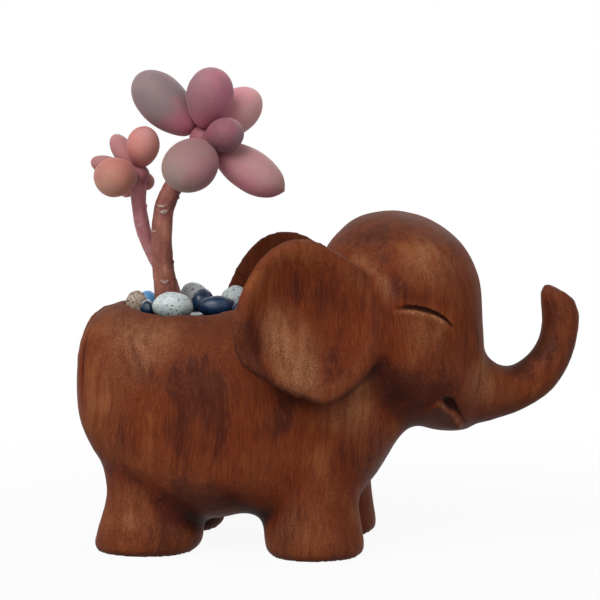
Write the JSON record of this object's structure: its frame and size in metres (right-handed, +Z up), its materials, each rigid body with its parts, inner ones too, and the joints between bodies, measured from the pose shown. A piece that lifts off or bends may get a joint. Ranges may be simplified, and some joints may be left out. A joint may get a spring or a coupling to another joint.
{
  "type": "elephant planter",
  "caption": "Small elephant-shaped ceramic planter with a round planting well in its back and a drain hole, planted with a fat-leaved succulent in soil under loose pebbles.",
  "frame": {"origin": "middle of the whole part's bounding box in plan, on the surface that the feet stand on", "axes": "+Z up; +X towards the elephant's trunk; +Y towards the elephant's left side"},
  "size_m": [0.181, 0.1, 0.1698],
  "materials": {
    "stained_ceramic": "matte, brushed wood-brown stain",
    "soil": "dark, granular",
    "stem": "matte, fleshy",
    "mauve_leaf": "powdery, fleshy",
    "peach_leaf": "powdery, fleshy",
    "white_stone": "speckled, smooth",
    "brown_stone": "speckled, smooth",
    "sky_stone": "smooth",
    "navy_stone": "polished",
    "grey_stone": "smooth"
  },
  "bodies": {
    "pot": {"elephant_pot": "stained_ceramic"},
    "planting": {"soil": "soil", "main_stem": "stem", "side_stem": "stem", "main_leaf_left": "mauve_leaf", "main_leaf_top": "mauve_leaf", "main_leaf_back": "mauve_leaf", "main_leaf_small": "mauve_leaf", "main_leaf_right": "mauve_leaf", "main_leaf_front": "mauve_leaf", "side_leaf_top": "peach_leaf", "side_leaf_high": "peach_leaf", "side_leaf_left": "peach_leaf", "side_leaf_front": "peach_leaf", "side_leaf_low": "peach_leaf", "side_leaf_right": "peach_leaf", "pebble_white_front": "white_stone", "pebble_brown": "brown_stone", "pebble_sky": "sky_stone", "pebble_white_back": "white_stone", "pebble_navy_back": "navy_stone", "pebble_navy_middle": "navy_stone", "pebble_white_right": "white_stone", "pebble_white_tiny": "white_stone", "pebble_navy_tiny": "navy_stone", "pebble_grey_far": "grey_stone", "pebble_sky_far": "sky_stone", "pebble_brown_far": "brown_stone", "pebble_white_far": "white_stone", "pebble_navy_right": "navy_stone", "pebble_white_near": "white_stone", "pebble_grey_near": "grey_stone"}
  },
  "joints": [
    {"name": "planting_lift", "type": "slide", "parent": "pot", "child": "planting", "axis": [0, 0, 1], "range_m": [0, 0.09]}
  ]
}
